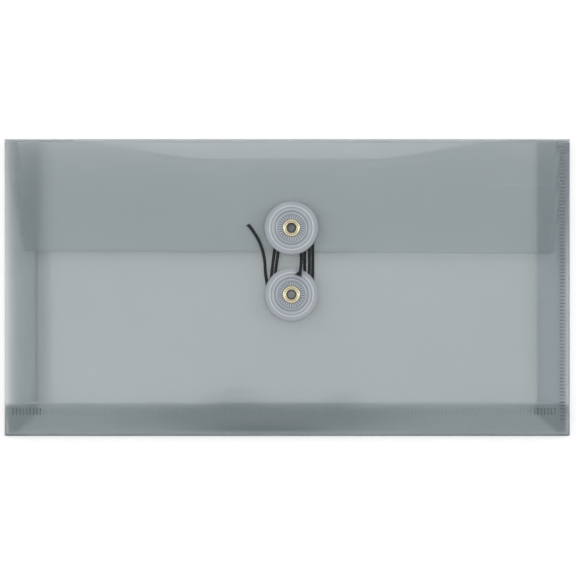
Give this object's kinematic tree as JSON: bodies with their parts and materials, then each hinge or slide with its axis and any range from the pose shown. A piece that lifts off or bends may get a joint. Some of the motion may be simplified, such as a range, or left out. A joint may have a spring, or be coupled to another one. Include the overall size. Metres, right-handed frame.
{
  "type": "string tie envelope",
  "caption": "Translucent smoke-grey film envelope with a gusseted pocket and tapered flap, closed by black string wound round frosted buttons on brass eyelets.",
  "frame": {"origin": "centre of the footprint, on the table that the back panel lies on", "axes": "+X to the right seen from the front, +Y towards the flap's fold, +Z out of the front"},
  "size_m": [0.254, 0.1334, 0.0124],
  "materials": {
    "film": "satin",
    "button_plastic": "frosted",
    "brass": "polished",
    "string": "braided"
  },
  "bodies": {
    "back": {"back_panel": "film", "fold_lower_bend": "film"},
    "left_rear": {"left_gusset_rear": "film"},
    "left_front": {"left_gusset_front": "film"},
    "front": {"front_panel": "film", "side_seam_lap": "film", "lower_eyelet": "brass"},
    "right_rear": {"right_gusset_rear": "film"},
    "right_front": {"right_gusset_front": "film"},
    "bottom_rear": {"bottom_gusset_rear": "film"},
    "bottom_front": {"bottom_gusset_front": "film", "bottom_seam_lap": "film"},
    "fold": {"fold_wall": "film", "fold_upper_bend": "film"},
    "flap_leaf": {"flap": "film", "upper_eyelet": "brass", "string_winding": "string", "string_free_end": "string", "string_tail": "string"},
    "upper_button": {"upper_disc": "button_plastic"},
    "lower_button": {"lower_disc": "button_plastic"}
  },
  "joints": [
    {"name": "left_rear_crease", "type": "hinge", "parent": "back", "child": "left_rear", "pos_m": [-0.12627, 0, 0.00072], "axis": [0, -1, 0], "range_deg": [-2.5, 48], "stiffness_Nm_per_rad": 0.1},
    {"name": "left_inner_crease", "type": "hinge", "parent": "left_rear", "child": "left_front", "pos_m": [-0.11292, 0, 0.00325], "axis": [0, -1, 0], "range_deg": [-114, 8]},
    {"name": "left_front_crease", "type": "hinge", "parent": "left_front", "child": "front", "pos_m": [-0.12627, 0, 0.00577], "axis": [0, -1, 0], "range_deg": [-4, 57]},
    {"name": "right_rear_crease", "type": "hinge", "parent": "back", "child": "right_rear", "pos_m": [0.12627, 0, 0.00072], "axis": [0, 1, 0], "range_deg": [-4, 57]},
    {"name": "right_inner_crease", "type": "hinge", "parent": "right_rear", "child": "right_front", "pos_m": [0.11292, 0, 0.00325], "axis": [0, 1, 0], "range_deg": [-114, 8]},
    {"name": "bottom_rear_crease", "type": "hinge", "parent": "back", "child": "bottom_rear", "pos_m": [0, -0.06595, 0.00072], "axis": [1, 0, 0], "range_deg": [-4, 57]},
    {"name": "bottom_inner_crease", "type": "hinge", "parent": "bottom_rear", "child": "bottom_front", "pos_m": [0, -0.0526, 0.00325], "axis": [1, 0, 0], "range_deg": [-114, 8]},
    {"name": "fold_rise", "type": "slide", "parent": "back", "child": "fold", "axis": [0, 0, 1], "range_m": [-0.00175, 0.02487], "deforming": ["fold_wall"]},
    {"name": "flap_crease", "type": "hinge", "parent": "fold", "child": "flap_leaf", "pos_m": [0, 0.06655, 0.00732], "axis": [-1, 0, 0], "range_deg": [0, 180], "deforming": ["fold_upper_bend", "string_winding", "string_free_end", "string_tail"]},
    {"name": "upper_disc_spin", "type": "hinge", "parent": "flap_leaf", "child": "upper_button", "pos_m": [0.0019, 0.0268, 0.0072], "axis": [0, 0, 1], "continuous": true},
    {"name": "lower_disc_spin", "type": "hinge", "parent": "front", "child": "lower_button", "pos_m": [0.0019, -0.0031, 0.0065], "axis": [0, 0, 1], "continuous": true}
  ],
  "couplings": [
    {"joint": "left_inner_crease", "follows": "left_rear_crease", "ratio": -2},
    {"joint": "left_front_crease", "follows": "left_rear_crease", "ratio": 1},
    {"joint": "right_rear_crease", "follows": "left_rear_crease", "ratio": 1},
    {"joint": "right_inner_crease", "follows": "left_rear_crease", "ratio": -2},
    {"joint": "bottom_rear_crease", "follows": "left_rear_crease", "ratio": 1},
    {"joint": "bottom_inner_crease", "follows": "left_rear_crease", "ratio": -2},
    {"joint": "fold_rise", "follows": "left_rear_crease", "m_per_rad": 0.025}
  ]
}
